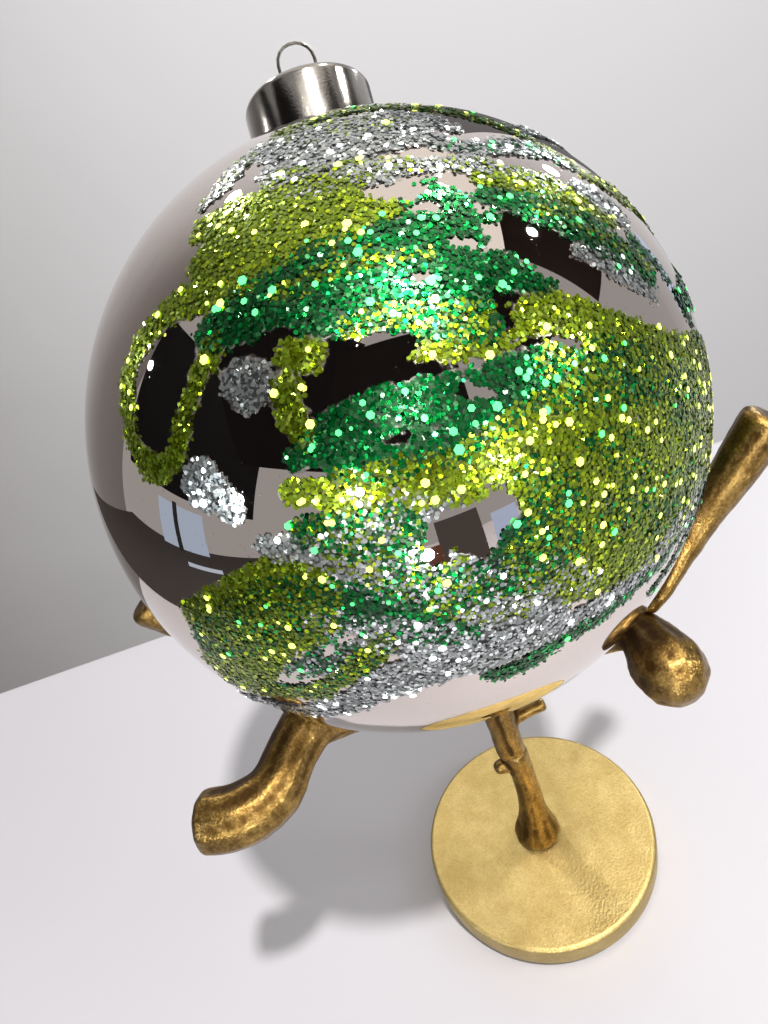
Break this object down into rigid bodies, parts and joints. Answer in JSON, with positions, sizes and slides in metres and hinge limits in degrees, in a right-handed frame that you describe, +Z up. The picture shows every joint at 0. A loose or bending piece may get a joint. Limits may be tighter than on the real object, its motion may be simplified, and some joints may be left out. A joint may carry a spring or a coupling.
{
  "type": "glass ball ornament on twig stand",
  "caption": "Mirrored glass ball ornament with bands of green and silver glitter, resting loose in the arms of a cast gold twig stand on a round base.",
  "frame": {"origin": "middle of the felt pad's underside, on the surface that the stand stands on", "axes": "+Z up, -Y towards the front, +X to the right as seen from the front"},
  "size_m": [0.1492, 0.1309, 0.2429],
  "materials": {
    "pale_gold": "satin, pale gold, fine brushed grain",
    "cast_gold": "cast, antique gold with dark patina in the hollows",
    "dark_felt": "felt",
    "zinc_steel": "zinc plated",
    "silvered_glass": "silvered on the inside, high gloss",
    "polished_nickel": "polished nickel plate",
    "lime_glitter": "coarse lime glitter in clear glue",
    "emerald_glitter": "coarse emerald glitter in clear glue",
    "silver_glitter": "coarse silver glitter in clear glue"
  },
  "bodies": {
    "stand": {"base_disc": "pale_gold", "felt_pad": "dark_felt", "base_bolt": "zinc_steel", "base_washer": "zinc_steel", "lower_trunk": "cast_gold", "upper_trunk": "cast_gold", "crown": "cast_gold", "arm_front_left": "cast_gold", "arm_right": "cast_gold", "arm_spike": "cast_gold", "arm_left": "cast_gold", "arm_rear": "cast_gold"},
    "cap": {"ornament_cap": "polished_nickel"},
    "globe": {"glass_globe": "silvered_glass", "coat_silver_top": "silver_glitter", "coat_lime_high": "lime_glitter", "coat_emerald": "emerald_glitter", "coat_lime_low": "lime_glitter", "coat_silver_low": "silver_glitter"},
    "hanger": {"hanger": "polished_nickel"}
  },
  "joints": [
    {"name": "bauble_lift", "type": "slide", "parent": "stand", "child": "cap", "axis": [0, 0, 1], "range_m": [0, 0.1]},
    {"name": "globe_turn", "type": "hinge", "parent": "cap", "child": "globe", "pos_m": [-0.0058, 0, 0.1726], "axis": [0.0764, 0.5437, 0.8358], "continuous": true},
    {"name": "hanger_slide", "type": "slide", "parent": "cap", "child": "hanger", "axis": [0.0764, 0.5437, 0.8358], "range_m": [0, 0.004]}
  ]
}
